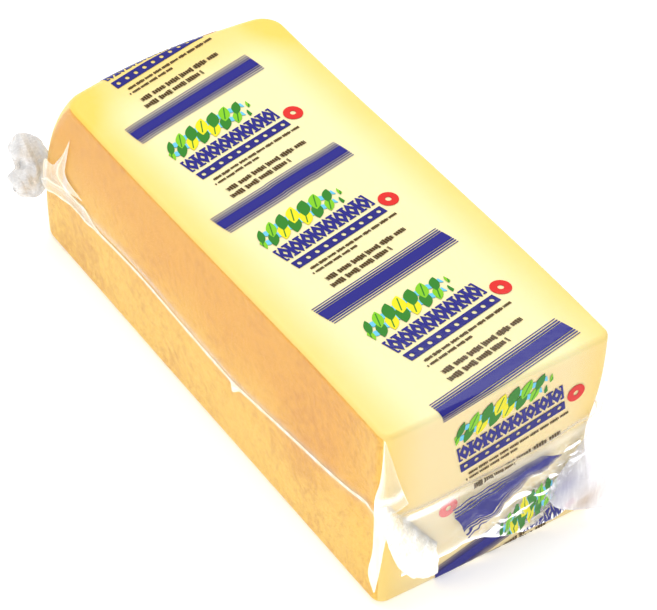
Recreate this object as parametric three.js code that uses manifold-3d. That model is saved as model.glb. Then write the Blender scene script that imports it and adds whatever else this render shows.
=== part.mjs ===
// A block of hard cheese, cut from the outer part of a wheel and vacuum-packed in a pouch.
// The pouch is two clear films, one over the top and one under the base, welded together
// round the block at about half its height. The weld lies on the two long sides as a narrow
// strip, folds down over each end as a flap, and leaves a loose ear of film at each corner.
//
// X is the width, Y the length with the cut front end at -Y and the heel of the wheel at +Y,
// and Z is up. The origin is on the underside, midway along the flat top. Sizes are in mm.

import * as THREE from 'three';
import { ConvexGeometry } from 'three/addons/geometries/ConvexGeometry.js';
import { mergeVertices } from 'three/addons/utils/BufferGeometryUtils.js';
import Module from 'manifold-3d';

// Cheese
const blockWidth = 109;
const blockHeight = 96; // at the front end
const topFall = 8; // how much lower the top is at the heel
const heelTaper = 2.7; // how far each long side closes in towards the heel
const topLength = 249; // along the flat top, front end to heel
const heelBulge = 23; // how far the heel stands out past the top's back edge
const heelHeight = 24; // height of the heel's fullest point over the underside
const wheelRadius = 320; // of the wheel that the block was cut from
const edgeRounding = 2.5; // of the long and cross edges
const frontCornerRadius = 5; // of the upright corners, seen from above
const backCornerRadius = 10.5;

// Films, drawn thicker than real film so that they are solids
const filmThickness = 0.3;
const clearance = 0.3; // between any two pieces that touch
const seamHeight = 43; // of the weld between the two films

// Welded strips and flaps
const sealThickness = 0.6;
const sideSealHeight = 4;
const sideSealFrontInset = 13; // from the front end to the strip's end
const sideSealHeelInset = 18; // from the heel's fullest point to the strip's end
const frontFlapDrop = 33; // seam to the flap's cut edge
const frontFlapRise = 3; // fold standing over the seam
const frontFlapInset = 16; // from each side of the block
const frontFlapWave = 3; // depth of the waves along the cut edge
const backFlapDrop = 24;
const backFlapInset = 22;

// Ears
const earThickness = 1.0;
const frontRightEarReach = 27; // past the side of the block
const frontRightEarLean = 9; // how far its tip stands forward of the front end
const frontLeftEarReach = 4;
const frontEarLap = 27; // how far a front ear lies across the front end
const backEarTurn = 50; // degrees from straight back to the way a back ear points
const backLeftEarReach = 20; // out from the round corner
const backLeftEarHeight = 36;
const backRightEarReach = 14;
const backRightEarHeight = 28;
const backEarSag = 8; // of a back ear's middle below the seam
const earWave = 2; // sideways waviness of a back ear

// Fineness of the round stretches
const edgeSteps = 3;
const cornerSteps = 5;
const heelSteps = 8;
const rimSteps = 4;
const routeSteps = 10;

const filmInside = clearance;
const filmOutside = filmInside + filmThickness;
const sealInside = filmOutside + clearance;
const sealOutside = sealInside + sealThickness;
const earLayer = sealOutside + clearance + earThickness / 2;
const underside = filmOutside; // of the cheese, over the surface that the pack stands on
const sideX = blockWidth / 2;
const frontY = -topLength / 2;
const topBackY = topLength / 2;
const heelY = topBackY + heelBulge;
const heelRadius = ((blockHeight - heelHeight) ** 2 + heelBulge ** 2) / (2 * heelBulge);

const wasm = await Module();
wasm.setup();

function toSolid(geometry) {
  const bare = geometry.index ? geometry.toNonIndexed() : geometry.clone();
  bare.deleteAttribute('normal');
  bare.deleteAttribute('uv');
  const merged = mergeVertices(bare, 1e-4);
  const mesh = new wasm.Mesh({
    numProp: 3,
    vertProperties: new Float32Array(merged.attributes.position.array),
    triVerts: new Uint32Array(merged.index.array),
  });
  mesh.merge();
  return new wasm.Manifold(mesh);
}

function toGeometry(solid) {
  const mesh = solid.getMesh();
  const geometry = new THREE.BufferGeometry();
  geometry.setAttribute('position', new THREE.BufferAttribute(mesh.vertProperties, 3));
  geometry.setIndex(new THREE.BufferAttribute(mesh.triVerts, 1));
  geometry.computeVertexNormals();
  return geometry;
}

// Angles from start to end, as a round stretch is walked.
function sweep(start, end, steps) {
  return Array.from({ length: steps + 1 }, (_, i) => start + ((end - start) * i) / steps);
}

// How far the heel's surface lies inside its fullest point at a height over the underside.
function heelRecess(height) {
  const rise = height - heelHeight;
  return heelRadius - Math.sqrt(Math.max(heelRadius ** 2 - rise ** 2, 0));
}

// Heights of the block's level sections, each with how far its outline is drawn in there
// by the rounding of the top and bottom edges.
function levels() {
  const low = sweep(0, Math.PI / 2, edgeSteps).map((turn) => ({
    height: edgeRounding * (1 - Math.sin(turn)),
    drawnIn: edgeRounding * (1 - Math.cos(turn)),
  }));
  const middle = sweep(edgeRounding, blockHeight - edgeRounding, heelSteps)
    .slice(1, -1)
    .map((height) => ({ height, drawnIn: 0 }));
  const high = low.map(({ height, drawnIn }) => ({ height: blockHeight - height, drawnIn }));
  return [...low, ...middle, ...high];
}

// The outline of the block at one level, seen from above: straight front, round corners
// and the wheel's own curve across the heel.
function outline(level, grow) {
  const half = sideX + grow - level.drawnIn;
  const front = frontY - grow + level.drawnIn;
  const back = heelY + grow - level.drawnIn - heelRecess(level.height);
  const frontRadius = Math.max(frontCornerRadius + grow - level.drawnIn, clearance);
  const backRadius = Math.max(backCornerRadius + grow - level.drawnIn, clearance);
  const rim = wheelRadius + grow - level.drawnIn - heelRecess(level.height);
  const rimDrop = (x) => rim - Math.sqrt(rim ** 2 - x ** 2);
  const points = [];
  for (const turn of sweep(0, Math.PI / 2, cornerSteps)) {
    const x = half - frontRadius + frontRadius * Math.cos(turn);
    const y = front + frontRadius - frontRadius * Math.sin(turn);
    points.push([x, y], [-x, y]);
  }
  const flat = half - backRadius;
  for (const turn of sweep(0, Math.PI / 2, cornerSteps)) {
    const x = flat + backRadius * Math.cos(turn);
    const y = back - rimDrop(flat) - backRadius + backRadius * Math.sin(turn);
    points.push([x, y], [-x, y]);
  }
  for (const x of sweep(-flat, flat, rimSteps).slice(1, -1)) {
    points.push([x, back - rimDrop(x)]);
  }
  return points;
}

// The block as it lies: towards the heel its top falls and its long sides close in.
function settled(x, y, z) {
  const along = (y - frontY) / (heelY - frontY);
  const rise = THREE.MathUtils.clamp((z - underside) / blockHeight, 0, 1);
  const side = THREE.MathUtils.clamp(x / sideX, -1, 1);
  return new THREE.Vector3(x - side * heelTaper * along, y, z - topFall * along * rise);
}

// The whole block, grown outwards by some distance on every face.
function block(grow) {
  const stretch = (blockHeight + 2 * grow) / blockHeight;
  const points = levels().flatMap((level) => {
    const z = underside - grow + level.height * stretch;
    return outline(level, grow).map(([x, y]) => settled(x, y, z));
  });
  return toSolid(new ConvexGeometry(points));
}

// A skin that follows the block between two distances from it.
function skin(inside, outside) {
  return block(outside).subtract(block(inside));
}

function boxSolid(low, high) {
  const size = high.map((value, i) => value - low[i]);
  const geometry = new THREE.BoxGeometry(...size);
  geometry.translate(...low.map((value, i) => value + size[i] / 2));
  return toSolid(geometry);
}

// A prism along Y of an outline drawn in X and Z.
function prismAlongY(shape, fromY, toY) {
  const geometry = new THREE.ExtrudeGeometry(shape, {
    depth: toY - fromY,
    bevelEnabled: false,
    curveSegments: routeSteps,
  });
  geometry.rotateX(Math.PI / 2);
  geometry.translate(0, toY, 0);
  return toSolid(geometry);
}

const reach = 2 * (topLength + blockWidth + blockHeight); // past every piece

function upperFilm() {
  const low = underside + seamHeight + clearance / 2;
  return skin(filmInside, filmOutside).intersect(
    boxSolid([-reach, -reach, low], [reach, reach, reach]),
  );
}

function lowerFilm() {
  const high = underside + seamHeight - clearance / 2;
  return skin(filmInside, filmOutside).intersect(
    boxSolid([-reach, -reach, -reach], [reach, reach, high]),
  );
}

// The strip of weld along one long side; side is -1 for the left and 1 for the right.
function sideSeal(side) {
  const inner = side * (sideX - frontCornerRadius);
  const outer = side * reach;
  const middle = underside + seamHeight;
  return skin(sealInside, sealOutside).intersect(
    boxSolid(
      [Math.min(inner, outer), frontY + sideSealFrontInset, middle - sideSealHeight / 2],
      [Math.max(inner, outer), heelY - sideSealHeelInset, middle + sideSealHeight / 2],
    ),
  );
}

// The welded tail at the front end, folded down flat, with a wavy cut edge.
function frontEndSeal() {
  const half = sideX - frontFlapInset;
  const top = underside + seamHeight + frontFlapRise;
  const cut = underside + seamHeight - frontFlapDrop;
  const shape = new THREE.Shape();
  shape.moveTo(-half, cut + frontFlapWave);
  shape.splineThru([
    new THREE.Vector2(-half / 2, cut),
    new THREE.Vector2(0, cut + frontFlapWave),
    new THREE.Vector2(half / 2, cut - frontFlapWave),
    new THREE.Vector2(half, cut),
  ]);
  shape.lineTo(half, top);
  shape.lineTo(-half, top);
  shape.closePath();
  return skin(sealInside, sealOutside).intersect(prismAlongY(shape, -reach, frontY / 2));
}

// The welded tail at the heel, folded down against it.
function backEndSeal() {
  const half = sideX - backFlapInset;
  const high = underside + seamHeight;
  return skin(sealInside, sealOutside).intersect(
    boxSolid([-half, topBackY - heelBulge, high - backFlapDrop], [half, reach, high]),
  );
}

// A loose ear: an upright sheet that follows a route seen from above, cut to an outline
// seen from the front.
function ear(route, edge) {
  const line = new THREE.CatmullRomCurve3(route.map(([x, y]) => new THREE.Vector3(x, y, 0)));
  const beside = (sign) =>
    sweep(0, 1, routeSteps).map((t) => {
      const at = line.getPoint(t);
      const along = line.getTangent(t);
      const shift = (sign * earThickness) / 2;
      return new THREE.Vector2(at.x - along.y * shift, at.y + along.x * shift);
    });
  const sheet = new THREE.ExtrudeGeometry(
    new THREE.Shape([...beside(-1), ...beside(1).reverse()]),
    { depth: 3 * blockHeight, bevelEnabled: false },
  );
  sheet.translate(0, 0, -blockHeight);
  const shape = new THREE.Shape();
  shape.moveTo(...edge[0]);
  shape.splineThru(edge.slice(1).map(([x, z]) => new THREE.Vector2(x, z)));
  shape.closePath();
  return toSolid(sheet).intersect(prismAlongY(shape, -reach, reach));
}

const seamZ = underside + seamHeight;
const frontLayerY = frontY - earLayer;
const ground = clearance; // the lowest that an ear hangs

function aboveGround(solid) {
  return solid.intersect(boxSolid([-reach, -reach, ground], [reach, reach, reach]));
}

// The large ear at the front right droops from the top corner down to the ground.
function frontRightEar() {
  const tipX = sideX + frontRightEarReach;
  const route = [
    [sideX - frontEarLap, frontLayerY],
    [sideX - frontCornerRadius, frontLayerY],
    [sideX + frontRightEarReach / 4, frontLayerY - frontRightEarLean / 3],
    [tipX + earThickness, frontLayerY - frontRightEarLean],
  ];
  const edge = [
    [sideX - frontEarLap, seamZ / 3],
    [sideX - frontEarLap / 2, ground],
    [tipX - frontRightEarReach / 4, ground],
    [tipX, seamZ / 5],
    [tipX - frontRightEarReach / 3, seamZ],
    [sideX + 2 * earThickness, seamZ + 0.8 * (blockHeight - seamHeight)],
    [sideX - frontCornerRadius, seamZ],
  ];
  return aboveGround(ear(route, edge));
}

// The ear at the front left is folded flat round the corner, with its point upwards.
function frontLeftEar() {
  const tipX = sideX + frontLeftEarReach;
  const route = [
    [-sideX + frontEarLap, frontLayerY],
    [-sideX + frontCornerRadius, frontLayerY],
    [-sideX, frontLayerY - earThickness],
    [-tipX - earThickness, frontLayerY - 2 * earThickness],
  ];
  const edge = [
    [-sideX + frontEarLap, seamZ / 3],
    [-sideX + frontEarLap / 2, seamZ + 2],
    [-sideX + 1, seamZ + blockHeight - seamHeight - frontCornerRadius],
    [-tipX, seamZ + frontCornerRadius],
    [-tipX, seamZ / 4],
    [-sideX + frontCornerRadius, seamZ / 3],
    [-sideX + frontEarLap - frontLeftEarReach, ground],
  ];
  return aboveGround(ear(route, edge));
}

// An ear at the heel, drawn along its own X from its root outwards, about its own middle.
function backEar(outward, height) {
  const route = [
    [0, 0],
    [outward / 3, earWave],
    [(2 * outward) / 3, -earWave],
    [outward + earThickness, earWave],
  ];
  const edge = [
    [0, height / 5],
    [outward / 3, 0.4 * height],
    [outward - earWave, height / 2],
    [outward, -height / 6],
    [0.7 * outward, -height / 2],
    [0, -height / 4],
  ];
  return ear(route, edge);
}

// Where a back ear's root stands, on the round corner at the height of the ear's middle.
function backEarRoot() {
  const diagonal = Math.PI / 4;
  const middle = seamHeight - backEarSag;
  const flat = sideX - backCornerRadius;
  const rim = wheelRadius - heelRecess(middle);
  const rimDrop = rim - Math.sqrt(rim ** 2 - flat ** 2);
  const arm = backCornerRadius + sealOutside + earThickness;
  return settled(
    flat + arm * Math.cos(diagonal),
    heelY - heelRecess(middle) - rimDrop - backCornerRadius + arm * Math.sin(diagonal),
    underside + middle,
  );
}

const cheeseLook = new THREE.MeshStandardMaterial({
  color: 0xf4d58a,
  roughness: 0.6,
  metalness: 0,
});

function filmLook(color) {
  return new THREE.MeshStandardMaterial({
    color,
    roughness: 0.15,
    metalness: 0,
    transparent: true,
    opacity: 0.35,
    side: THREE.DoubleSide,
  });
}

const pieces = [
  ['cheese_block', block(0), cheeseLook],
  ['upper_film', upperFilm(), filmLook(0xf2efe2)],
  ['lower_film', lowerFilm(), filmLook(0xf2efe2)],
  ['left_side_seal', sideSeal(-1), filmLook(0xfff3d6)],
  ['right_side_seal', sideSeal(1), filmLook(0xfff3d6)],
  ['front_end_seal', frontEndSeal(), filmLook(0xf6f4ee)],
  ['back_end_seal', backEndSeal(), filmLook(0xf6f4ee)],
  ['front_right_ear', frontRightEar(), filmLook(0xf6f6f4)],
  ['front_left_ear', frontLeftEar(), filmLook(0xf6f6f4)],
  ['back_left_ear', backEar(backLeftEarReach, backLeftEarHeight), filmLook(0xf6f6f4)],
  ['back_right_ear', backEar(backRightEarReach, backRightEarHeight), filmLook(0xf6f6f4)],
];

const pack = new THREE.Group();
pack.name = 'vacuum_packed_cheese_block';
for (const [name, solid, look] of pieces) {
  const mesh = new THREE.Mesh(toGeometry(solid), look);
  mesh.name = name;
  pack.add(mesh);
}

// The back ears are turned to point out and back from their own corners.
const root = backEarRoot();
const turn = THREE.MathUtils.degToRad(90 - backEarTurn);
const backLeft = pack.getObjectByName('back_left_ear');
backLeft.position.set(-root.x, root.y, root.z);
backLeft.rotation.z = Math.PI - turn;
const backRight = pack.getObjectByName('back_right_ear');
backRight.position.set(root.x, root.y, root.z);
backRight.rotation.z = turn;

export default pack;
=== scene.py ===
import math

import bpy
import numpy as np
from mathutils import Matrix, Vector


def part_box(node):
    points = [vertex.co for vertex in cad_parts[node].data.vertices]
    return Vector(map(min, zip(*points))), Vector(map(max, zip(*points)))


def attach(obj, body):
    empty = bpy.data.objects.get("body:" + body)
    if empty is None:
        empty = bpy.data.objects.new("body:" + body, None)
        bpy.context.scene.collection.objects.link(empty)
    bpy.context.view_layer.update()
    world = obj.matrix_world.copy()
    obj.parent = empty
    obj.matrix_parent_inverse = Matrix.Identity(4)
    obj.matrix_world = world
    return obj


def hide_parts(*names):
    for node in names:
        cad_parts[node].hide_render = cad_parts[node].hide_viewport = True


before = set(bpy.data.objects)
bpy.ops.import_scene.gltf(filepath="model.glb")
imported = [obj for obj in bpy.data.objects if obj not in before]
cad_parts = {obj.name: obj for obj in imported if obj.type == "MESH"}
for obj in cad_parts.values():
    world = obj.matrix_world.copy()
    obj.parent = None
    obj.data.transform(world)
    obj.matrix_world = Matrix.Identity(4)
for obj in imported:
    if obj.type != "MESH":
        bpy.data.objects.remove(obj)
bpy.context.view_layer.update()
mm = 0.001

# The block's own shape, shared by the cheese and the film that clings to it.
cheeseLow, cheeseHigh = (np.array(corner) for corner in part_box("cheese_block"))

block = {
    "half": (cheeseHigh[0] - cheeseLow[0]) / 2,
    "front": cheeseLow[1],
    "heel": cheeseHigh[1],
    "bottom": cheeseLow[2],
    "height": cheeseHigh[2] - cheeseLow[2],
    "topCentre": 8 * mm,  # the rings close this far in front of the middle
    "edgeRounding": 2.6 * mm,
    "frontCorner": 5.2 * mm,
    "backCorner": 10.5 * mm,
    "wheelRadius": 320 * mm,
    "heelHeight": 24 * mm,  # where the heel is fullest
    "heelBulge": 23 * mm,  # how far it stands out past the top's back edge
    "heelStart": 60 * mm,  # where the sides begin to give way to the heel
    "topFall": 8.4 * mm,  # the top is this much lower at the heel
    "heelTaper": 2.75 * mm,  # each long side closes in this much towards the heel
    "belly": 1.2 * mm,  # how far the long sides swell out at their middle
    "leftLean": -1.2 * mm,  # shift of each face at the bottom edge
    "rightLean": -4.0 * mm,
    "frontLean": 1.5 * mm,
    "leftPinch": 2.6 * mm,  # how far the front corners are drawn in at the weld
    "rightPinch": 5.0 * mm,
    "pinchReach": 24 * mm,  # how far from the corner that pull is felt, along and up
    "pinchHeight": 38 * mm,
    "swell": 0.3 * mm,  # unevenness from pressing and cutting, and the length of its waves
    "swellSize": 95 * mm,
}

# Where the weld runs round the block: places seen from above, and its height there, in mm.
seamMarks = [
    (0, -125, 49.6), (25, -125, 51.2), (43, -125, 54.5),
    (54, -118, 55), (54, -90, 50), (54, -48, 45), (54, 10, 42), (54, 60, 42.5), (54, 110, 39),
    (50, 138, 36), (30, 145, 36), (0, 147, 36.5), (-30, 145, 35), (-49, 139, 33), (-53, 128, 37),
    (-53, 118, 38.4), (-54, 98, 39.3), (-54, 72, 42.1), (-54, 52, 42.8), (-54, 14, 41.2),
    (-54, -18, 40), (-54, -48, 43.8), (-54, -88, 48.2), (-54, -117, 53),
    (-41, -125, 48), (-25, -125, 48.4), (-11, -125, 49.6),
]


def smoothStep(low, high, value):
    share = np.clip((value - low) / (high - low), 0, 1)
    return share * share * (3 - 2 * share)


# The heel is a circle seen from the side, through its fullest point and the top's back edge.
heelTall = block["height"] - block["heelHeight"]
heelRadius = (heelTall**2 + block["heelBulge"] ** 2) / (2 * block["heelBulge"])


def heelRecess(rise):
    # How far the heel recedes at a height: R - sqrt(R^2 - d^2), where d is how far the
    # point lies above or below the fullest height.
    return heelRadius - np.sqrt(np.maximum(heelRadius**2 - (rise - block["heelHeight"]) ** 2, 0))


def heelShare(y):
    # How much of the recess a wall at y takes: none on the sides, all of it on the heel.
    return smoothStep(block["heelStart"], block["heel"] - block["backCorner"], y)


def walkRound(straightStep=2.2 * mm, cornerSteps=16):
    # The outline seen from above, counter-clockwise from the middle of the front:
    # a straight front, two small corners, straight sides, two large corners and the
    # wheel's own arc across the heel. Returns places and outward directions.
    half = block["half"]
    front = block["front"]
    heel = block["heel"]
    small = block["frontCorner"]
    large = block["backCorner"]
    wheel = block["wheelRadius"]
    reach = math.sqrt((wheel - large) ** 2 - (half - large) ** 2)
    largeY = heel - wheel + reach
    meet = math.atan2(reach, half - large)

    def arc(middleX, middleY, radius, fromTurn, toTurn, steps):
        turn = np.linspace(fromTurn, toTurn, steps, endpoint=False)
        out = np.stack([np.cos(turn), np.sin(turn)], 1)
        return np.array([middleX, middleY]) + radius * out, out

    def run(start, end, out):
        start, end = np.array(start), np.array(end)
        steps = max(2, int(np.linalg.norm(end - start) / straightStep))
        share = np.linspace(0, 1, steps, endpoint=False)[:, None]
        return start + share * (end - start), np.tile(out, (steps, 1))

    rimSteps = int(2 * (half - large) / straightStep)
    stretches = [
        run((0, front), (half - small, front), (0.0, -1.0)),
        arc(half - small, front + small, small, -math.pi / 2, 0, cornerSteps),
        run((half, front + small), (half, largeY), (1.0, 0.0)),
        arc(half - large, largeY, large, 0, meet, cornerSteps * 2),
        arc(0, heel - wheel, wheel, meet, math.pi - meet, rimSteps),
        arc(-half + large, largeY, large, math.pi - meet, math.pi, cornerSteps * 2),
        run((-half, largeY), (-half, front + small), (-1.0, 0.0)),
        arc(-half + small, front + small, small, math.pi, 1.5 * math.pi, cornerSteps),
        run((-half + small, front), (0, front), (0.0, -1.0)),
    ]
    place = np.concatenate([stretch[0] for stretch in stretches])
    out = np.concatenate([stretch[1] for stretch in stretches])
    step = np.linalg.norm(np.roll(place, -1, 0) - place, axis=1)
    along = np.concatenate([[0], np.cumsum(step)[:-1]]) / step.sum()
    return {"place": place, "out": out, "along": along}


def waves(points, size, seed, count=6):
    # Smooth unevenness between -1 and 1: a sum of sine waves in random directions,
    # each about as long as size.
    dice = np.random.default_rng(seed)
    total = np.zeros(points.shape[:-1])
    for _ in range(count):
        way = dice.normal(size=points.shape[-1])
        way /= np.linalg.norm(way) * size * dice.uniform(0.7, 1.4)
        total += np.sin(2 * math.pi * (points @ way + dice.random()))
    return total / count


def character(points):
    # What the wheel's shape, pressing and packing do to the plain block. Towards the heel
    # the top falls and the sides close in; the sides belly out and lean; the front corners
    # are drawn in at the weld; every face is a little uneven. Each shift fades smoothly.
    x, y, z = points[..., 0], points[..., 1], points[..., 2]
    half = block["half"]
    along = np.clip((y - block["front"]) / (block["heel"] - block["front"]), 0, 1)
    rise = (z - block["bottom"]) / block["height"]
    side = np.clip(x / half, -1.1, 1.1)
    made = points.copy()
    arch = 4 * along * (1 - along) * np.sin(math.pi * np.clip(rise, 0, 1) ** 0.8)
    made[..., 0] += side * (block["belly"] * arch - block["heelTaper"] * along)
    made[..., 2] -= block["topFall"] * smoothStep(0.05, 0.9, along) * np.clip(rise, 0, 1)
    lean = block["leftLean"] * np.clip(-side, 0, 1) + block["rightLean"] * np.clip(side, 0, 1)
    made[..., 0] += lean * (1 - rise)
    made[..., 1] += block["frontLean"] * (1 - rise) * (1 - along)
    reach = block["pinchReach"]
    nearSide = np.clip((np.abs(x) - half + reach) / reach, 0, 1.05)
    nearFront = np.clip((block["front"] + reach - y) / reach, 0, 1.05)
    nearWeld = np.exp(-(((z - block["pinchHeight"]) / reach) ** 2))
    pinch = np.where(x > 0, block["rightPinch"], block["leftPinch"])
    pull = pinch * (nearSide * nearFront) ** 1.6 * nearWeld
    made[..., 0] -= np.sign(x) * pull
    made[..., 1] += 0.7 * pull
    for axis in range(3):
        made[..., axis] += block["swell"] * waves(points, block["swellSize"], 10 + axis)
    return made


def plainPoints(down, walk, grow):
    # A point on the plain block, or grow outside it. down runs from the middle of the top (0),
    # out to the top's edge (1), round it (2), down the wall (3), round the bottom edge (4)
    # and in to the middle of the underside (5). The outline is drawn in along its outward
    # directions by r(1 - sin) or r(1 - cos) on the two round edges, and shifted forward by
    # the heel's recess on the heel side.
    radius = block["edgeRounding"] + grow
    top = block["bottom"] + block["height"] + grow
    bottom = block["bottom"] - grow
    over = np.clip(down - 1, 0, 1) * math.pi / 2
    wall = np.clip(down - 2, 0, 1)
    under = np.clip(down - 3, 0, 1) * math.pi / 2
    drawnIn = radius * (1 - np.sin(over)) * (down < 2) + radius * (1 - np.cos(under))
    z = np.where(down < 2, top - radius * (1 - np.cos(over)),
                 top - radius - wall * (top - bottom - 2 * radius))
    z = np.where(down > 3, bottom + radius * (1 - np.sin(under)), z)
    place = walk["place"] + (grow - drawnIn[..., None]) * walk["out"]
    x, y = place[..., 0], place[..., 1]
    y = y - heelRecess(np.clip(z, bottom, top) - block["bottom"]) * heelShare(walk["place"][:, 1])
    inward = np.where(down < 1, np.clip(down, 0, 1), 1 - np.clip(down - 4, 0, 1))
    centre = (block["front"] + block["heel"]) / 2 - block["topCentre"]
    x, y = x * inward, centre + (y - centre) * inward
    return np.stack([x, y, z], -1)


def traceSeam(steps=900):
    # The weld's height at equal steps round the block: straight lines between the marks,
    # then each height averaged with its neighbours.
    walk = walkRound()
    marks = np.array(seamMarks) * mm
    nearest = np.linalg.norm(walk["place"][None] - marks[:, None, :2], axis=-1).argmin(1)
    order = np.argsort(walk["along"][nearest])
    share = np.arange(steps) / steps
    heights = np.interp(share, walk["along"][nearest][order], marks[order, 2], period=1)
    window = np.hanning(31)
    rounded = np.convolve(np.tile(heights, 3), window / window.sum(), "same")
    return share, rounded[steps:2 * steps]


seamTrace = traceSeam()


def seamHeight(walk):
    return np.interp(walk["along"], *seamTrace, period=1)


def seamDown(walk, grow):
    # The same height as a value of down, on the wall between the two round edges.
    radius = block["edgeRounding"] + grow
    top = block["bottom"] + block["height"] + grow - radius
    bottom = block["bottom"] - grow + radius
    return 2 + (top - seamHeight(walk)) / (top - bottom)


def gridFaces(rows, columns, wrap, first=0):
    # Four-sided faces between neighbouring rows and columns of a grid, facing outwards
    # where columns run counter-clockwise and rows run down.
    start = first + np.arange(rows - 1)[:, None] * columns
    here = np.arange(columns if wrap else columns - 1)[None, :]
    beside = (here + 1) % columns
    below = start + columns
    return np.stack([start + here, below + here, below + beside, start + beside], -1).reshape(-1, 4)


def capFaces(columns, tip, firstOfRow, facingUp):
    # Triangles that close a ring of points to one point, seen from above or from below.
    here = firstOfRow + np.arange(columns)
    beside = firstOfRow + (np.arange(columns) + 1) % columns
    tips = np.full(columns, tip)
    return np.stack([tips, here, beside] if facingUp else [tips, beside, here], 1)


def makePiece(name, vertices, quads, triangles=None, uv=None, values=None):
    # Builds a mesh from arrays, with a print map and named values on its points.
    triangles = np.zeros((0, 3), int) if triangles is None else triangles
    corners = np.concatenate([quads.ravel(), triangles.ravel()]).astype(np.int32)
    sizes = np.concatenate([np.full(len(quads), 4), np.full(len(triangles), 3)]).astype(np.int32)
    mesh = bpy.data.meshes.new(name)
    mesh.vertices.add(len(vertices))
    mesh.vertices.foreach_set("co", vertices.astype(np.float32).ravel())
    mesh.loops.add(len(corners))
    mesh.loops.foreach_set("vertex_index", corners)
    mesh.polygons.add(len(sizes))
    starts = np.concatenate([[0], np.cumsum(sizes)[:-1]]).astype(np.int32)
    mesh.polygons.foreach_set("loop_start", starts)
    mesh.polygons.foreach_set("use_smooth", np.ones(len(sizes), bool))
    mesh.update(calc_edges=True)
    if uv is not None:
        layer = mesh.uv_layers.new(name="printMap")
        layer.data.foreach_set("uv", uv[corners].astype(np.float32).ravel())
    for key, value in (values or {}).items():
        attribute = mesh.attributes.new(key, "FLOAT", "POINT")
        attribute.data.foreach_set("value", value.astype(np.float32).ravel())
    mesh.validate()
    piece = bpy.data.objects.new(name, mesh)
    bpy.context.scene.collection.objects.link(piece)
    return piece


def addWall(piece, thickness):
    # Half of the film's thickness on each side of its surface.
    wall = piece.modifiers.new("thickness", "SOLIDIFY")
    wall.thickness = thickness
    wall.offset = 0.0
    wall.use_even_offset = False


def settle(piece, material, node):
    piece.data.materials.append(material)
    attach(piece, "root")
    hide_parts(node)


def onWeb(points, outX, outY):
    # Where a point of the upper film lies on the flat web, in metres. The walls unroll from
    # the top's edges: down the sides and front by the depth below the top, and over the heel
    # by the arc R(asin a - asin b) of the heel's circle.
    x, y, z = points[..., 0], points[..., 1], points[..., 2]
    top = block["bottom"] + block["height"]
    depth = np.maximum(top - z, 0)
    recess = heelRecess(z - block["bottom"])
    drop = np.clip((z - block["bottom"] - block["heelHeight"]) / heelRadius, -1, 1)
    arc = heelRadius * (math.asin(heelTall / heelRadius) - np.arcsin(drop))
    level = y + (recess - heelRecess(block["height"])) * heelShare(y + recess)
    webX = x + outX * depth
    webY = level + np.where(outY < 0, outY * depth, outY * arc)
    return np.stack([webX, webY], -1)


def stretched(web):
    # The web was pulled askew as the block was packed: repeats drift sideways along a
    # parabola, and those in the middle lie a little nearer the front.
    webX, webY = web[..., 0], web[..., 1]
    repeat = np.clip((printing["start"][1] - webY) / printing["repeatOnTop"], 0, 3)
    sideways = (printing["skewCurve"] * repeat - printing["skew"]) * repeat
    forwards = printing["stretch"] * np.sin(math.pi * repeat / 3)
    return np.stack([webX - sideways, webY - forwards], -1)


class Wire:
    # A number in a node tree. The usual signs put in Math nodes.
    def __init__(self, tree, socket):
        self.tree, self.socket = tree, socket

    def do(self, operation, *others):
        made = self.tree.nodes.new("ShaderNodeMath")
        made.operation = operation
        for place, value in enumerate((self, *others)):
            feed(self.tree, made.inputs[place], value)
        return Wire(self.tree, made.outputs[0])

    def __add__(self, other):
        return self.do("ADD", other)

    def __sub__(self, other):
        return self.do("SUBTRACT", other)

    def __mul__(self, other):
        return self.do("MULTIPLY", other)

    def __truediv__(self, other):
        return self.do("DIVIDE", other)

    def over(self, other):
        return self.do("GREATER_THAN", other)

    def under(self, other):
        return self.do("LESS_THAN", other)

    def between(self, low, high):
        return self.over(low) * self.under(high)

    def size(self):
        return self.do("ABSOLUTE")

    def part(self):
        return self.do("FRACT")

    def whole(self):
        return self.do("FLOOR")

    def capped(self):
        return self.do("MINIMUM", 1.0)


def feed(tree, socket, value):
    if isinstance(value, Wire):
        tree.links.new(value.socket, socket)
    elif isinstance(value, bpy.types.NodeSocket):
        tree.links.new(value, socket)
    else:
        socket.default_value = value


def addNode(tree, kind, inputs=None, **settings):
    made = tree.nodes.new(kind)
    for key, value in settings.items():
        setattr(made, key, value)
    for key, value in (inputs or {}).items():
        feed(tree, made.inputs[key], value)
    return made


def rgb(red, green, blue):
    # A colour given as the eye sees it, 0 to 255, turned to the linear one that nodes use.
    shown = np.array([red, green, blue]) / 255
    linear = np.where(shown <= 0.04045, shown / 12.92, ((shown + 0.055) / 1.055) ** 2.4)
    return (*linear.tolist(), 1.0)


def blend(tree, share, low, high):
    made = addNode(tree, "ShaderNodeMix", data_type="RGBA")
    feed(tree, made.inputs["Factor"], share)
    feed(tree, made.inputs["A"], low)
    feed(tree, made.inputs["B"], high)
    return made.outputs["Result"]


def ramp(tree, value, low, high, toLow=0.0, toHigh=1.0):
    made = addNode(tree, "ShaderNodeMapRange", {"Value": value, "From Min": low, "From Max": high,
                                                "To Min": toLow, "To Max": toHigh},
                   interpolation_type="SMOOTHSTEP")
    return Wire(tree, made.outputs["Result"])


def noise(tree, vector, scale, detail=3.0, rough=0.55):
    made = addNode(tree, "ShaderNodeTexNoise", {"Vector": vector, "Scale": scale, "Detail": detail,
                                                "Roughness": rough})
    return Wire(tree, made.outputs["Fac"])


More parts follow.
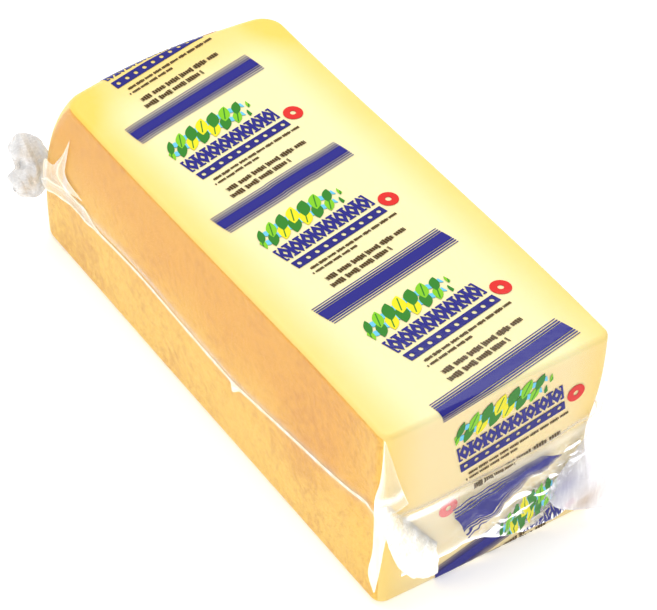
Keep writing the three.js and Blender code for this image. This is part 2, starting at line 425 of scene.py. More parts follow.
def newMaterial(name):
    material = bpy.data.materials.new(name)
    material.use_nodes = True
    tree = material.node_tree
    tree.nodes.clear()
    shader = tree.nodes.new("ShaderNodeBsdfPrincipled")
    out = tree.nodes.new("ShaderNodeOutputMaterial")
    tree.links.new(shader.outputs["BSDF"], out.inputs["Surface"])
    return material, tree, shader


def valueOf(tree, name):
    return Wire(tree, addNode(tree, "ShaderNodeAttribute", attribute_name=name).outputs["Fac"])


# The print on the film. Places and sizes are on the flat web.
printing = {
    "slant": math.radians(10.2),  # the bands climb to the right
    "start": (-5.6 * mm, 90.9 * mm),  # middle of the first band
    "pitch": 68.3 * mm,
    "drift": -12.3 * mm,  # each repeat starts this much further along the band
    "bandHalf": 35.8 * mm,
    "coreHalf": 2.7 * mm,
    "bandEdge": 6.0 * mm,
    "lines": 3,  # thinning lines along each edge of a band
    "repeatOnTop": 69.4 * mm,  # one repeat measured along the block
    "skewCurve": 2.4 * mm,  # how the pulled web drifts sideways from repeat to repeat
    "skew": 2.8 * mm,
    "stretch": 1.8 * mm,  # how far the middle repeats lie nearer the front
    "left": -32.5 * mm,
    "right": 18.7 * mm,
    "blue": rgb(24, 22, 134),
    "darkBlue": rgb(22, 20, 126),
    "brown": rgb(88, 64, 22),
    "red": rgb(228, 34, 30),
    "leaf": rgb(40, 132, 26),
    "lime": rgb(132, 208, 20),
    "yellow": rgb(242, 232, 10),
    "sky": rgb(110, 205, 240),
    "rowAbove": 7.2 * mm,  # a repeat starts this far above its band's axis
    # Garland: for each row of leaves its shift in cells and its place below the band.
    "leafRows": [(0.5, 20.4 * mm), (0.0, 15.8 * mm)],
    "leafCell": 6.4 * mm,
    "leafCells": 7.4,
    "leafLong": 5.4 * mm,
    "leafWide": 2.8 * mm,
    "berry": 1.5 * mm,
    "frieze": 30.6 * mm,  # places below the band, and sizes, of what follows
    "friezeStep": 6.4 * mm,
    "friezeHalf": 4.1 * mm,
    "bar": 39.0 * mm,
    "barHalf": 2.3 * mm,
    "dotStep": 5.1 * mm,
    "dot": 1.0 * mm,
    "roundel": (24.6 * mm, 36.2 * mm),
    "roundelRadius": 4.3 * mm,
    "roundelHole": 1.3 * mm,
    # Rows of dashes: place below the band, height, length of a dash, start and end, in mm.
    "dashRows": [
        (44.6, 1.6, 0.8, -30, 20), (47.4, 1.5, 0.8, -31, -6),
        (53.6, 2.9, 1.3, -30, 15), (57.9, 2.9, 1.3, -32, 2),
    ],
}


def makePrintGroup():
    # A repeating print: a blue band with thinning lines, then a garland of leaves, a frieze
    # of lozenges, a dotted bar, a roundel and rows of dashes. below is the distance below
    # the band's axis within one repeat and along the distance to the right on it.
    group = bpy.data.node_groups.new("filmPrint", "ShaderNodeTree")
    group.interface.new_socket("Place", in_out="INPUT", socket_type="NodeSocketVector")
    group.interface.new_socket("Ink", in_out="OUTPUT", socket_type="NodeSocketColor")
    group.interface.new_socket("Cover", in_out="OUTPUT", socket_type="NodeSocketFloat")
    entry = group.nodes.new("NodeGroupInput")
    leave = group.nodes.new("NodeGroupOutput")
    split = addNode(group, "ShaderNodeSeparateXYZ", {"Vector": entry.outputs["Place"]})
    webX = Wire(group, split.outputs["X"]) - printing["start"][0]
    webY = Wire(group, split.outputs["Y"]) - printing["start"][1]
    sine = math.sin(printing["slant"])
    cosine = math.cos(printing["slant"])
    fall = webX * sine - webY * cosine
    run = webX * cosine + webY * sine
    row = ((fall + printing["rowAbove"]) / printing["pitch"]).whole()
    below = fall - row * printing["pitch"]
    along = run - row * printing["drift"]
    left = printing["left"]
    right = printing["right"]

    # Band: solid in its middle, then lines that thin out towards both edges.
    away = below.size()
    spare = printing["bandEdge"] - printing["coreHalf"]
    lineCount = (away - printing["coreHalf"]) * (printing["lines"] / spare)
    gap = lineCount * 0.14 + 0.34
    lines = lineCount.part().do("GREATER_THAN", gap)
    inBand = along.size().under(printing["bandHalf"]) * away.under(printing["bandEdge"])
    band = inBand * (away.under(printing["coreHalf"]) + lines).capped()

    # Garland: two rows of tilted leaves with a vein, tallest in the middle, and berries
    # between them. A leaf is where (long / half length)^2 + wide / half width stays below
    # the arch, a parabola over the row.
    cell = printing["leafCell"]
    leaves = None
    leafInk = None
    berries = None
    for shift, depth in printing["leafRows"]:
        place = (along - left) / cell + shift
        which = place.whole()
        centred = place / printing["leafCells"] - 0.5
        arch = centred * centred * -2.2 + 1.0
        across = (place.part() - 0.5) * cell
        lower = below - depth + (arch - 1.0) * 3.0 * mm
        long = across * 0.57 - lower * 0.82
        wide = across * 0.82 + lower * 0.57
        longShare = long / printing["leafLong"]
        lens = longShare * longShare + wide.size() / printing["leafWide"] - arch
        inside = lens.under(0.0) * place.between(0.0 + shift, printing["leafCells"])
        vein = wide.size().under(0.28 * mm) * long.size().under(3.8 * mm)
        odd = ((which + shift * 2.0) / 2.0).part().over(0.25)
        tone = blend(group, odd, printing["leaf"], printing["lime"])
        tone = blend(group, (which - 3.0).size().under(1.2) * odd, tone, printing["yellow"])
        tone = blend(group, vein, tone, printing["leaf"])
        leafInk = tone if leafInk is None else blend(group, inside, leafInk, tone)
        leaves = inside if leaves is None else (leaves + inside).capped()
        apart = across.size() - cell / 2
        berry = (apart * apart + lower * lower).under(printing["berry"] ** 2) * place.between(0.6, 7.0)
        berries = berry if berries is None else (berries + berry).capped()

    # Frieze: bold lozenges with an open middle between upright bars.
    step = printing["friezeStep"]
    fromMiddle = (((along - left) / step).part() - 0.5).size() * step
    fromAxis = (below - printing["frieze"]).size()
    lozenge = fromMiddle / (2.6 * mm) + fromAxis / (4.6 * mm)
    posts = (fromMiddle - 2.35 * mm).over(0.0) * fromAxis.under(printing["friezeHalf"])
    ends = (fromMiddle - 1.5 * mm).over(0.0) * fromAxis.between(3.3 * mm, printing["friezeHalf"])
    frieze = lozenge.under(1.0) * lozenge.over(0.34) + (posts + ends)
    frieze = frieze.capped() * along.between(left, right)

    # Bar with a row of round dots left open in it.
    step = printing["dotStep"]
    dotX = (((along - left) / step).part() - 0.5) * step
    dotY = below - printing["bar"]
    aroundDot = (dotX * dotX + dotY * dotY).over(printing["dot"] ** 2)
    bar = dotY.size().under(printing["barHalf"]) * along.between(left, right) * aroundDot

    # Roundel.
    ringX = along - printing["roundel"][0]
    ringY = below - printing["roundel"][1]
    ring = ringX * ringX + ringY * ringY
    roundel = ring.under(printing["roundelRadius"] ** 2) * ring.over(printing["roundelHole"] ** 2)

    # Rows of dashes: each short cell along a row is inked to a height set by a hashed
    # number, and longer cells set the gaps between groups.
    dashes = None
    for key, (middle, high, dash, start, end) in enumerate(printing["dashRows"]):
        cells = along / (dash * mm)
        groups = along / (dash * 6.3 * mm)
        hashed = addNode(group, "ShaderNodeTexWhiteNoise", {"W": cells.whole() + key * 57.0},
                         noise_dimensions="1D")
        tall = Wire(group, hashed.outputs["Value"]) * 0.4 + 0.6
        away = (below - middle * mm).size() / (high / 2 * mm)
        inked = (away - tall).under(0.0) * groups.part().over(0.14) * cells.part().over(0.24)
        inked = inked * along.between(start * mm, end * mm)
        dashes = inked if dashes is None else dashes + inked
    dashes = dashes.capped()

    ink = blend(group, dashes, printing["blue"], printing["brown"])
    ink = blend(group, roundel, ink, printing["red"])
    ink = blend(group, berries, ink, printing["sky"])
    ink = blend(group, leaves, ink, leafInk)
    ink = blend(group, bar, ink, printing["darkBlue"])
    cover = (band + leaves + berries + frieze + bar + roundel + dashes).capped()
    group.links.new(ink, leave.inputs["Ink"])
    group.links.new(cover.socket, leave.inputs["Cover"])
    return group


printGroup = makePrintGroup()
print("print group ready")


cheeseLook = {
    "paste": rgb(250, 238, 182),  # cut face
    "pasteWarm": rgb(252, 212, 88),  # cut face near the rind
    "front": rgb(250, 226, 168),
    "rindHigh": rgb(237, 170, 46),
    "rindLow": rgb(250, 202, 82),
    "rindDeep": rgb(212, 138, 42),
    "speck": rgb(204, 134, 46),
    "cloudScale": 24.0,  # large blotches
    "mottleScale": 260.0,  # marks of the cloth and boards
    "grainScale": 700.0,
    "deepShare": 0.5,  # how strongly blotches and specks darken the rind
    "speckShare": 0.42,
    "bump": 0.3,
    "bumpDepth": 0.6 * mm,
    "specular": 0.25,
    "subsurface": 0.15,
    "subsurfaceDepth": 4 * mm,
    "coat": 0.12,
    "coatRoughness": 0.25,
}


def makeCheeseMaterial():
    # Pale cut paste that warms towards the rind, and a rind that is darker, grained,
    # blotched and paler near the floor. The masks are values on the surface.
    material, tree, shader = newMaterial("hardCheese")
    place = addNode(tree, "ShaderNodeTexCoord").outputs["Object"]
    split = addNode(tree, "ShaderNodeSeparateXYZ", {"Vector": place})
    long = Wire(tree, split.outputs["Y"])
    tall = Wire(tree, split.outputs["Z"])
    rindShare = valueOf(tree, "rind")
    warmth = valueOf(tree, "warmth")
    frontShare = valueOf(tree, "cutEnd")
    cloud = noise(tree, place, cheeseLook["cloudScale"], 4.0)
    mottle = noise(tree, place, cheeseLook["mottleScale"], 4.0, 0.65)
    grain = noise(tree, place, cheeseLook["grainScale"], 3.0, 0.7)
    paste = blend(tree, frontShare, cheeseLook["paste"], cheeseLook["front"])
    warm = (warmth + (cloud - 0.5) * 0.5 * warmth).capped()
    paste = blend(tree, warm, paste, cheeseLook["pasteWarm"])
    level = ramp(tree, tall + (cloud - 0.5) * 0.03, 0.02, 0.07)
    level = level * ramp(tree, long, -0.122, -0.09, 0.3, 1.0)
    rind = blend(tree, level, cheeseLook["rindLow"], cheeseLook["rindHigh"])
    deep = ramp(tree, cloud + (mottle - 0.5) * 0.9, 0.42, 0.8, 0.0, cheeseLook["deepShare"])
    rind = blend(tree, deep, rind, cheeseLook["rindDeep"])
    speck = ramp(tree, grain * 0.85 + mottle * 0.25, 0.5, 0.74, 0.0, cheeseLook["speckShare"])
    rind = blend(tree, speck, rind, cheeseLook["speck"])
    share = ramp(tree, rindShare + (mottle - 0.5) * 0.12 + (cloud - 0.5) * 0.15, 0.3, 0.72)
    tree.links.new(blend(tree, share, paste, rind), shader.inputs["Base Color"])
    tree.links.new(ramp(tree, grain, 0.3, 0.7, 0.42, 0.6).socket, shader.inputs["Roughness"])
    height = grain * (share * 0.7 + 0.3) + mottle * share * 1.4
    bump = addNode(tree, "ShaderNodeBump", {"Height": height, "Strength": cheeseLook["bump"],
                                            "Distance": cheeseLook["bumpDepth"]})
    tree.links.new(bump.outputs["Normal"], shader.inputs["Normal"])
    shader.inputs["Specular IOR Level"].default_value = cheeseLook["specular"]
    shader.inputs["Subsurface Weight"].default_value = cheeseLook["subsurface"]
    shader.inputs["Subsurface Radius"].default_value = (1.0, 0.6, 0.25)
    shader.inputs["Subsurface Scale"].default_value = cheeseLook["subsurfaceDepth"]
    shader.inputs["Coat Weight"].default_value = cheeseLook["coat"]
    shader.inputs["Coat Roughness"].default_value = cheeseLook["coatRoughness"]
    shader.inputs["Coat IOR"].default_value = 1.5
    return material


# How solid each film is: where it is clear, at grazing angles, where milky and on creases. More solid white
# film at grazing angles is partly haze and partly a painted reflection of the white surroundings; on creases
# it is real whitening of bent film with painted highlights.
# glow is painted light: an emission that stands for the light that passes through the film and is scattered
# in it.
filmLook = {
    "clinging": {
        "clear": 0.012, "edge": 0.14, "milk": 0.4, "creaseWhiteAndHighlight": 0.6, "glow": 0.05, "gloss": 0.18,
        "roughness": 0.14, "tint": rgb(255, 252, 240), "printed": True,
    },
    "welded": {
        "clear": 0.09, "edge": 0.25, "milk": 0.35, "creaseWhiteAndHighlight": 0.55, "glow": 0.24, "gloss": 0.5,
        "roughness": 0.16, "tint": rgb(255, 242, 216), "printed": False,
    },
    "folded": {
        "clear": 0.02, "edge": 0.15, "milk": 0.6, "creaseWhiteAndHighlight": 0.85, "glow": 0.55, "gloss": 0.35,
        "roughness": 0.08, "tint": rgb(255, 255, 254), "printed": True,
    },
    "loose": {
        "clear": 0.04, "edge": 0.3, "milk": 0.5, "creaseWhiteAndHighlight": 0.7, "glow": 0.34, "gloss": 0.5,
        "roughness": 0.12, "tint": rgb(255, 250, 236), "printed": False,
    },
    # The grey tints of the wide and tied films are painted shade: grey film stands in for the shading of
    # clear film seen against the white floor.
    "wide": {
        "clear": 0.1, "edge": 0.4, "milk": 0.6, "creaseWhiteAndHighlight": 0.6, "glow": 0.2, "gloss": 0.5,
        "roughness": 0.12, "tint": rgb(228, 226, 232), "printed": False,
    },
    "tied": {
        "clear": 0.3, "edge": 0.6, "milk": 0.6, "creaseWhiteAndHighlight": 0.6, "glow": 0.02, "gloss": 0.8,
        "roughness": 0.1, "tint": rgb(226, 225, 224), "printed": False,
    },
}

# What all the films share.
filmCommon = {
    # A bright crease is whitened film with a painted highlight on it.
    "inkCover": 0.98,
    "inkLost": 0.95,  # how much of the ink a bright crease hides
    "lostFrom": 0.45,  # and the crease value from which it does
    "streakScale": 330.0,
    "streakStretch": 0.16,  # streaks run up and down
    # White streaks of painted sheen, standing in for glossy highlights on the film.
    "streakSheenWhite": rgb(253, 253, 253),
    "stainBlue": rgb(70, 72, 160),
    "stainBrown": rgb(176, 140, 96),
    "stainSolid": 0.25,
    "rippleScale": 150.0,
    "ripple": 0.2,
    "rippleDepth": 0.6 * mm,
    "noGlow": (0, 0, 0, 1),
}


def makeFilmMaterial(name):
    # Clear film is mostly hole. Where it is printed, the ink covers it. stain on the
    # surface tells where ink of a layer behind shows through, blue above and brown below 0.
    look = filmLook[name]
    material, tree, shader = newMaterial(name + "Film")
    facing = Wire(tree, addNode(tree, "ShaderNodeLayerWeight", {"Blend": 0.3}).outputs["Facing"])
    # folded: how creased the film is there, drawn as whitened film with painted highlights.
    folded = valueOf(tree, "creaseWhiteAndHighlight")
    cloud = valueOf(tree, "milk")
    place = addNode(tree, "ShaderNodeTexCoord").outputs["Object"]
    pulled = addNode(tree, "ShaderNodeMapping", {"Vector": place})
    pulled.inputs["Scale"].default_value = (1.0, 1.0, filmCommon["streakStretch"])
    streak = noise(tree, pulled.outputs["Vector"], filmCommon["streakScale"], 3.0, 0.6)
    # Towards grazing angles the film is more solid and white: haze, and a painted reflection of the white
    # surroundings.
    solid = facing * facing * (look["edge"] - look["clear"]) + look["clear"]
    solid = solid + folded * look["creaseWhiteAndHighlight"] + cloud * (streak * 0.5 + 0.75) * look["milk"]
    if look["printed"]:
        onPrint = addNode(tree, "ShaderNodeUVMap", uv_map="printMap").outputs["UV"]
        inked = addNode(tree, "ShaderNodeGroup", node_tree=printGroup)
        tree.links.new(onPrint, inked.inputs["Place"])
        # Painted highlights on the bright creases hide the ink.
        bare = ((folded - filmCommon["lostFrom"]) * 2.2).do("MAXIMUM", 0.0).capped()
        cover = Wire(tree, inked.outputs["Cover"]) * (bare * -filmCommon["inkLost"] + filmCommon["inkCover"])
        colour = blend(tree, cover, look["tint"], inked.outputs["Ink"])
        # Painted light: the film glows in its tint where no ink covers it.
        glow = blend(tree, cover, look["tint"], filmCommon["noGlow"])
        solid = solid.do("MAXIMUM", cover)
    else:
        stain = valueOf(tree, "stain")
        # Painted sheen: the tint turns white along the streaks, as glossy highlights.
        sheenStreaks = ramp(tree, streak, 0.4, 0.75)
        colour = blend(tree, sheenStreaks, look["tint"], filmCommon["streakSheenWhite"])
        colour = blend(tree, stain.do("MAXIMUM", 0.0), colour, filmCommon["stainBlue"])
        colour = blend(tree, (stain * -1.0).do("MAXIMUM", 0.0), colour, filmCommon["stainBrown"])
        solid = solid + stain.size() * filmCommon["stainSolid"]
        # Painted light: the unprinted film glows in its own colour.
        glow = colour
    tree.links.new(colour, shader.inputs["Base Color"])
    tree.links.new(glow, shader.inputs["Emission Color"])
    tree.links.new(solid.capped().socket, shader.inputs["Alpha"])
    ripple = noise(tree, place, filmCommon["rippleScale"], 3.0, 0.5)
    bump = addNode(tree, "ShaderNodeBump", {"Height": ripple, "Strength": filmCommon["ripple"],
                                            "Distance": filmCommon["rippleDepth"]})
    tree.links.new(bump.outputs["Normal"], shader.inputs["Normal"])
    shader.inputs["Emission Strength"].default_value = look["glow"]
    shader.inputs["Roughness"].default_value = look["roughness"]
    shader.inputs["Specular IOR Level"].default_value = look["gloss"]
    shader.inputs["IOR"].default_value = 1.5
    return material


cheeseMaterial = makeCheeseMaterial()
filmMaterials = {name: makeFilmMaterial(name) for name in filmLook}
print("materials ready")


def makeCheese():
    # A closed surface: rings from the middle of the top to the middle of the underside.
    walk = walkRound(1.9 * mm)
    down = np.concatenate([
        np.linspace(0, 1, 30)[1:],
        np.linspace(1, 2, 8)[1:],
        np.linspace(2, 3, 50)[1:],
        np.linspace(3, 4, 8)[1:],
        np.linspace(4, 5, 16)[1:-1]])
    columns = len(walk["along"])
    every = np.repeat(down[:, None], columns, 1)
    plain = plainPoints(every, walk, 0.0)
    plain = np.concatenate([plain.reshape(-1, 3), [plain[0].mean(0), plain[-1].mean(0)]])
    quads = gridFaces(len(down), columns, True)
    lastRow = (len(down) - 1) * columns
    triangles = np.concatenate([
        capFaces(columns, len(plain) - 2, 0, True),
        capFaces(columns, len(plain) - 1, lastRow, False)])
    x, y, z = plain.T
    half = block["half"]
    depth = block["bottom"] + block["height"] - z
    heelStart = block["heel"] - heelRecess(z - block["bottom"])
    # The paste warms over the last stretch before each rind.
    toSide = smoothStep(half - 24 * mm, half, np.abs(x))
    toHeel = smoothStep(heelStart - 34 * mm, heelStart - 4 * mm, y)
    onSide = smoothStep(half - 2.2 * mm, half - 0.2 * mm, np.abs(x))
    onSide = onSide * smoothStep(0.2 * mm, 2.4 * mm, depth)
    onHeel = smoothStep(heelStart - 5 * mm, heelStart - 1 * mm, y)
    onHeel = onHeel * smoothStep(0.5 * mm, 4 * mm, depth)
    atEnd = smoothStep(block["front"] + 3 * mm, block["front"] + 0.4 * mm, y)
    atEnd = atEnd * smoothStep(0.3 * mm, 4 * mm, depth)
    values = {
        "rind": np.maximum(onSide * (1 - 0.9 * atEnd), onHeel),
        "warmth": np.clip((0.74 + 0.1 * y / block["heel"]) * toSide + 0.7 * toHeel, 0, 1),
        "cutEnd": atEnd,
    }
    piece = makePiece("cheese_body", character(plain), quads, triangles, values=values)
    settle(piece, cheeseMaterial, "cheese_block")


makeCheese()
print("cheese ready")


# The two films that cling to the cheese.
films = {
    "wall": 0.16 * mm,
    "gap": 0.25 * mm,  # over the cheese
    "frontBridge": 1.6 * mm,  # how far the film stands off at the upright corners
    "backBridge": 2.6 * mm,
    "bridgeFade": 30 * mm,  # and how far above and below the weld
    "hemFade": 1.2 * mm,  # the film is a little cloudy this close to the weld
    "lowerShift": 8 * mm,  # how the lower web's print lies against the upper one's
    "lowerBand": 9.6 * mm,
    "lowerClimb": 0.3,
    "printStop": 20 * mm,  # no print shows above this height beside the tail's band
}


def cling(down, walk, seam, extra=0.0):
    # The film over the block: a hair outside it, and further out where it bridges the
    # upright corners near the weld. The bridge fades with the distance from the weld.
    x, y = walk["place"].T
    half = block["half"]
    atBack = smoothStep(block["heel"] - 34 * mm, block["heel"] - 12 * mm, y)
    atBack = atBack * smoothStep(half - 20 * mm, half - 6 * mm, np.abs(x))
    atFront = smoothStep(block["front"] + 12 * mm, block["front"] + 2 * mm, y)
    atFront = atFront * smoothStep(half - 14 * mm, half - 4 * mm, np.abs(x))
    plain = plainPoints(down, walk, films["gap"] + extra)
    points = character(plain)
    near = np.exp(-((points[..., 2] - seam) / films["bridgeFade"]) ** 2)
    lift = (films["backBridge"] * atBack + films["frontBridge"] * atFront) * near * (down > 1)
    points[..., 0] += lift * walk["out"][:, 0]
    points[..., 1] += lift * walk["out"][:, 1]
    return points, plain


def underWeb(plain, walk):
    # The lower web carries the same print the other way up. Its band comes up along the
    # front's bottom edge, climbing to the right, and the print goes on under the block.
    # The long sides are pushed past the print's end, and so is the part that stays clear.
    x, y, z = plain[..., 0], plain[..., 1], plain[..., 2]
    rise = z - block["bottom"]
    onWall = rise > 1 * mm
    webX = printing["start"][0] + films["lowerShift"] - x
    webX = webX - np.sign(x) * np.abs(walk["out"][:, 0]) * onWall * (rise + 40 * mm)
    bandLine = printing["start"][1] + math.tan(printing["slant"]) * (webX - printing["start"][0])
    line = films["lowerBand"] + films["lowerClimb"] * x
    clear = (rise > films["printStop"]) & (y < 0) & (x > -17 * mm)
    webX = webX + clear * 200 * mm
    under = (y - block["front"]) * ~onWall
    over = np.where(onWall & (y > 0), block["heel"] - block["front"] + rise, -rise)
    return np.stack([webX, bandLine + line + under + over], -1)


def makeFilm(name, node, upper):
    # Rings from the middle of the face to the weld, so that the hem follows the weld.
    walk = walkRound(1.9 * mm)
    columns = len(walk["along"])
    seam = seamHeight(walk)
    hem = seamDown(walk, films["gap"])
    if upper:
        face = np.concatenate([np.linspace(0, 1, 24)[1:], np.linspace(1, 2, 8)[1:]])
        wall = 2 + np.linspace(0, 1, 34)[1:, None] * (hem - 2)
        down = np.concatenate([np.repeat(face[:, None], columns, 1), wall])
    else:
        face = np.concatenate([np.linspace(3, 4, 8)[1:], np.linspace(4, 5, 16)[1:-1]])
        wall = hem + np.linspace(0, 1, 28)[:, None] * (3 - hem)
        down = np.concatenate([wall, np.repeat(face[:, None], columns, 1)])
    grid, plain = cling(down, walk, seam)
    if upper:
        web = stretched(onWeb(plain, *walk["out"].T))
    else:
        web = underWeb(plain, walk)
    poleRow = 0 if upper else -1
    vertices = np.concatenate([grid.reshape(-1, 3), [grid[poleRow].mean(0)]])
    uv = np.concatenate([web.reshape(-1, 2), [web[poleRow].mean(0)]])
    quads = gridFaces(len(down), columns, True)
    ringStart = 0 if upper else (len(down) - 1) * columns
    triangles = capFaces(columns, len(vertices) - 1, ringStart, upper)
    fromWeld = np.abs(vertices[:, 2] - np.append(np.tile(seam, len(down)), 0))
    nearHem = np.exp(-fromWeld / films["hemFade"])
    values = {"creaseWhiteAndHighlight": 0.15 * nearHem, "milk": 0.5 * nearHem}
    piece = makePiece(name, vertices, quads, triangles, uv, values)
    addWall(piece, films["wall"])
    settle(piece, filmMaterials["clinging"], node)


makeFilm("printed_upper_film", "upper_film", True)
makeFilm("clear_lower_film", "lower_film", False)
print("films ready")


def smoothPath(points, spots):
    # A curve through every point: each stretch is a cubic whose slopes come from the
    # neighbours on both sides. points is (count, ...) and spots run from 0 to 1.
    count = len(points)
    spot = np.clip(spots, 0, 1) * (count - 1)
    first = np.minimum(spot.astype(int), count - 2)
    share = (spot - first).reshape((-1,) + (1,) * (points.ndim - 1))
    before, start = points[np.maximum(first - 1, 0)], points[first]
    end, after = points[first + 1], points[np.minimum(first + 2, count - 1)]
    return 0.5 * (2 * start + (end - before) * share
                  + (2 * before - 5 * start + 4 * end - after) * share**2
                  + (3 * start - before - 3 * end + after) * share**3)


def loft(ribs, across, down):
    # A surface through ribs given in millimetres: each rib is a smooth curve along its own
    # points, and so is each row across them.
    ribs = np.array(ribs, float) * mm
    rows = smoothPath(ribs.transpose(1, 0, 2), np.linspace(0, 1, down))
    return smoothPath(rows.transpose(1, 0, 2), np.linspace(0, 1, across)).transpose(1, 0, 2)


def folds(points, size, seed, count=6, flow=(1, 1, 1)):
    # Sharp crumpling between about -1 and 1: a sum of zigzags in random directions, each
    # bent by slow waves so that its creases aren't straight. Larger numbers in flow put
    # more creases across that axis.
    dice = np.random.default_rng(seed)
    bend = waves(points, size * 2.4, seed + 1) * 0.45
    total = np.zeros(points.shape[:-1])
    weight = 0
    for _ in range(count):
        way = dice.normal(size=3) * flow
        way /= np.linalg.norm(way) * size * dice.uniform(0.55, 1.7)
        phase = (points @ way + bend + dice.random()) % 1
        strength = dice.uniform(0.4, 1)
        total += strength * (4 * np.abs(phase - 0.5) - 1)
        weight += strength
    return total * 1.6 / weight


def gridNormals(grid):
    normal = np.cross(np.gradient(grid, axis=0), np.gradient(grid, axis=1))
    return normal / np.maximum(np.linalg.norm(normal, axis=-1, keepdims=True), 1e-12)


def sharpness(height, step):
    # How sharply a crumpled sheet bends at each point: the size of its second differences,
    # spread a little to both sides.
    bent = np.zeros(height.shape)
    bent[1:-1] += np.abs(height[2:] - 2 * height[1:-1] + height[:-2])
    bent[:, 1:-1] += np.abs(height[:, 2:] - 2 * height[:, 1:-1] + height[:, :-2])
    bent[:, 1:-1] = (bent[:, 1:-1] + 0.5 * bent[:, 2:] + 0.5 * bent[:, :-2]) / 2
    return np.clip(bent / step, 0, 1) ** 1.5


def crumple(grid, amount, size, seed, direction=1.0, flow=(1, 1, 1)):
    # Pushes a sheet along its own normals by sharp folds over slow swells.
    large = folds(grid, size, seed, flow=flow)
    small = folds(grid, size * 0.4, seed + 5, flow=flow)
    swell = waves(grid, size * 1.8, seed + 9)
    height = (large * 0.6 + small * 0.22 + swell * 0.5) * amount
    return grid + gridNormals(grid) * direction * height[..., None], sharpness(height, 0.16 * mm)


def makeSheet(name, layers, uvs, values, look, wall, node):
    # Joins one or more grids into one piece and gives it the film's thickness.
    vertices = []
    quads = []
    first = 0
    for layer in layers:
        rows, columns = layer.shape[:2]
        vertices.append(layer.reshape(-1, 3))
        quads.append(gridFaces(rows, columns, False, first))
        first += rows * columns
    uv = None if uvs is None else np.concatenate([web.reshape(-1, 2) for web in uvs])
    joined = {key: np.concatenate([part.ravel() for part in parts]) for key, parts in values.items()}
    piece = makePiece(name, np.concatenate(vertices), np.concatenate(quads), None, uv, joined)
    addWall(piece, wall)
    settle(piece, filmMaterials[look], node)


# The welds along the long sides.
sideSeals = {
    "wall": 0.2 * mm,
    "tall": 1.5 * mm,
    "tallAtHeel": 7.5 * mm,
    "proud": 0.3 * mm,
    "frontEnd": -121 * mm,
    "backEnd": 136 * mm,
    "widenFrom": 88 * mm,  # where the strip widens towards the heel
    "widenTo": 106 * mm,
    "tuft": -19 * mm,  # a torn scrap stands here on the left
    # The star of film that the left weld gathers into, in millimetres: ribs from its
    # point down into the weld, from the front edge to the heel's.
    "star": [
        [(-53.4, 113.6, 71.6), (-53.7, 116.2, 60), (-53.8, 118.2, 50), (-53.9, 113.6, 46.6),
         (-54.0, 104, 45.2)],
        [(-53.4, 113.7, 71.6), (-54.4, 117.8, 60), (-54.8, 122, 50), (-54.8, 121, 44.6),
         (-54.4, 114, 42.2)],
        [(-53.3, 113.8, 71.6), (-53.8, 118.6, 60.8), (-54.0, 124.6, 51), (-54.6, 127, 43.6),
         (-54.2, 122, 39.4)],
        [(-53.3, 113.9, 71.6), (-53.4, 119.2, 60.4), (-53.4, 127.6, 47), (-53.8, 135.4, 45.0),
         (-53.6, 137.4, 32.4)],
    ],
}


def makeSideSeal(name, node, side):
    # A flat welded strip pressed against the side: its height follows the seam, wider
    # towards the heel, and its section is two small ridges with a dip between them.
    walk = walkRound(1.0 * mm)
    placeY = walk["place"][:, 1]
    start = sideSeals["frontEnd"]
    end = sideSeals["backEnd"]
    chosen = (np.sign(walk["place"][:, 0]) == side) & (np.abs(walk["out"][:, 0]) > 0.35)
    chosen &= (placeY > start) & (placeY < end)
    picked = {key: value[chosen] for key, value in walk.items()}
    base, _ = cling(seamDown(picked, films["gap"]), picked, seamHeight(picked))
    y = picked["place"][:, 1]
    ends = smoothStep(start, start + 6 * mm, y) * smoothStep(end, end - 5 * mm, y)
    widening = smoothStep(sideSeals["widenFrom"], sideSeals["widenTo"], y)
    wide = sideSeals["tall"] + (sideSeals["tallAtHeel"] - sideSeals["tall"]) * widening
    wide = wide * (1 + 0.3 * waves(base, 14 * mm, 3)) * (0.25 + 0.75 * ends)
    scrap = np.exp(-(((y - sideSeals["tuft"]) / (2.2 * mm)) ** 2)) * (side < 0)
    across = np.linspace(-1, 1, 25)
    ridges = np.exp(-(((np.abs(across) - 0.78) / 0.13) ** 2))
    section = (0.25 + 0.75 * ridges) * np.sqrt(np.maximum(1 - across**8, 0))
    grid = np.repeat(base[None], len(across), 0)
    hang = 2.4 * mm * scrap * smoothStep(0, 1, across)[:, None]
    grid[..., 2] += 2.2 * mm * widening + across[::-1, None] * wide / 2 - hang
    proud = sideSeals["proud"] * (0.7 + 0.3 * waves(base, 9 * mm, 8)) * ends + 1.6 * mm * scrap
    stand = section[:, None] * proud + 0.12 * mm
    grid[..., 0] += stand * picked["out"][:, 0]
    grid[..., 1] += stand * picked["out"][:, 1]
    ridge = np.repeat(ridges[:, None], grid.shape[1], 1)
    layers = [grid]
    # The ridges are whiter and more solid: whitened film with painted highlights along them.
    values = {
        "creaseWhiteAndHighlight": [np.clip(0.8 * ridge + scrap, 0, 1)],
        "milk": [0.1 + 0.9 * (1 - 0.75 * widening) * (1 - 0.4 * ridge)],
    }
    if side < 0:
        # The star: cloudy, with pale rims along both edges and one crease between them; these bright lines
        # are whitened film with painted highlights.
        star = loft(sideSeals["star"], 60, 90)
        star, bent = crumple(star, 0.25 * mm, 9 * mm, 12, direction=-1.0)
        share = np.linspace(0, 1, 60)[None, :] * np.ones((90, 1))
        rim = np.exp(-share / 0.05) + np.exp(-(1 - share) / 0.05)
        rim = rim + 0.6 * np.exp(-(((share - 0.36) / 0.06) ** 2))
        layers.append(star)
        values["creaseWhiteAndHighlight"].append(np.clip(0.8 * rim + 0.4 * bent, 0, 1))
        values["milk"].append(0.45 + 0.2 * share)
    makeSheet(name, layers, None, values, "welded", sideSeals["wall"], node)


